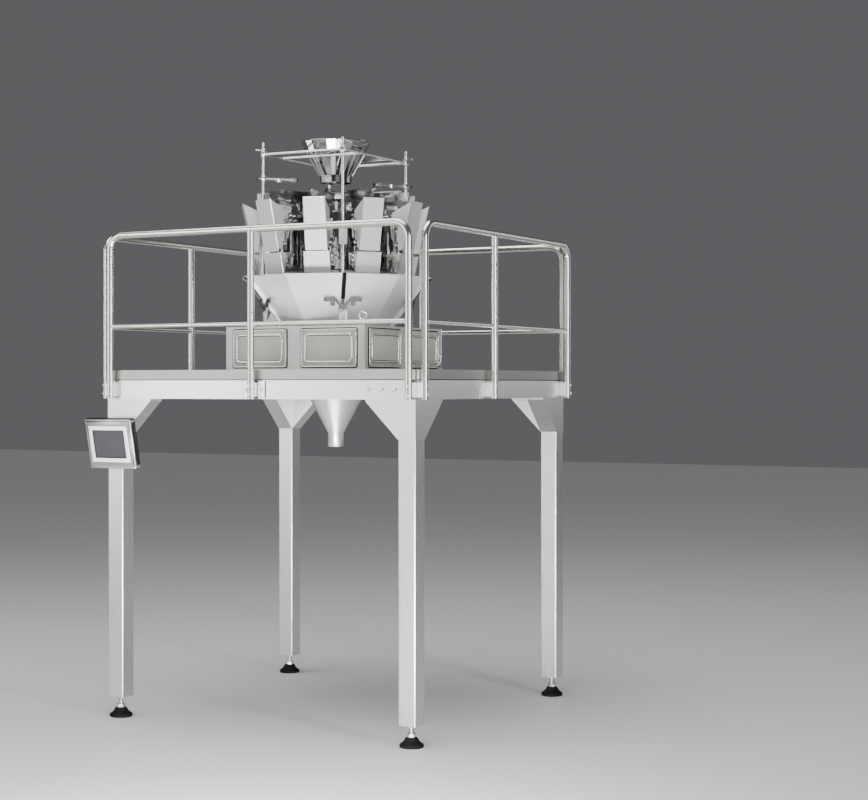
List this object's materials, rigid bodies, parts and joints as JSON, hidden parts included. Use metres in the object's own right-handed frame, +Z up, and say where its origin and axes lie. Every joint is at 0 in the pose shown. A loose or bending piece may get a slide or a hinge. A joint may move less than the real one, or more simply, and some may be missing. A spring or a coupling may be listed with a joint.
{
  "type": "multihead weigher on support platform",
  "caption": "Circular combination weigher with hoppers, chutes and discharge funnel on a stainless platform with guard rails and a tilting operator panel.",
  "frame": {"origin": "on the floor, under the middle of the whole machine's box", "axes": "+X to the right along the front, +Y away from the front, +Z up"},
  "size_m": [2.006, 2.0101, 3.166],
  "materials": {
    "frame_steel": "brushed stainless tube",
    "deck_sheet": "brushed stainless sheet",
    "rail_tube": "polished stainless tube",
    "foot_rubber": "black rubber",
    "foot_steel": "turned stainless steel",
    "base_sheet": "warm grey brushed sheet",
    "chute_sheet": "satin stainless sheet",
    "funnel_sheet": "satin stainless sheet",
    "body_polished": "polished stainless housing",
    "drive_polished": "polished stainless housing",
    "pan_sheet": "bright stainless sheet",
    "hopper_sheet": "satin stainless sheet",
    "gate_sheet": "polished stainless sheet",
    "rod_steel": "polished stainless rod",
    "infeed_polished": "polished stainless sheet",
    "panel_case": "brushed stainless case",
    "panel_frame": "pale blue grey",
    "screen_glass": "dark grey screen, switched off",
    "black_plastic": "black plastic"
  },
  "bodies": {
    "machine": {"base_box": "base_sheet", "base_doors": "base_sheet", "beam_front_left": "frame_steel", "beam_front_right": "frame_steel", "beam_left": "frame_steel", "beam_rear": "frame_steel", "beam_right": "frame_steel", "chute_segments": "chute_sheet", "cone_drive": "body_polished", "cone_rods": "rod_steel", "cradle_bars": "rod_steel", "cross_beams": "frame_steel", "deck_bearers": "frame_steel", "deck_front": "deck_sheet", "deck_rear": "deck_sheet", "discharge_funnel": "funnel_sheet", "dispersion_cone": "body_polished", "drive_boxes": "drive_polished", "drum": "body_polished", "drum_legs": "chute_sheet", "feed_gates": "gate_sheet", "feed_hoppers": "hopper_sheet", "feeder_pans": "pan_sheet", "foot_pads": "foot_rubber", "foot_studs": "foot_steel", "frame_bars": "rod_steel", "gate_levers": "gate_sheet", "gate_links": "gate_sheet", "haunches": "frame_steel", "hopper_hangers": "drive_polished", "infeed_cone": "infeed_polished", "joint_covers": "frame_steel", "latch_brackets": "chute_sheet", "legs": "frame_steel", "pan_drives": "drive_polished", "panel_bracket": "panel_case", "panel_knob": "black_plastic", "rail_brackets": "rail_tube", "rail_front": "rail_tube", "rail_left": "rail_tube", "rail_mid_bars": "rail_tube", "rail_posts": "rail_tube", "rail_rear": "rail_tube", "rail_right": "rail_tube", "rod_brackets": "rod_steel", "rod_clamps": "rod_steel", "sensor_arms": "rod_steel", "sensor_heads": "black_plastic", "weigh_gates": "gate_sheet", "weigh_hoppers": "hopper_sheet"},
    "operator_panel": {"panel_housing": "panel_case", "panel_bezel": "panel_frame", "panel_screen": "screen_glass", "panel_lug": "panel_case"}
  },
  "joints": [
    {"name": "panel_tilt", "type": "hinge", "parent": "machine", "child": "operator_panel", "pos_m": [-0.836, -0.90692, 1.5], "axis": [1, 0, 0], "range_deg": [-25, 18]}
  ]
}
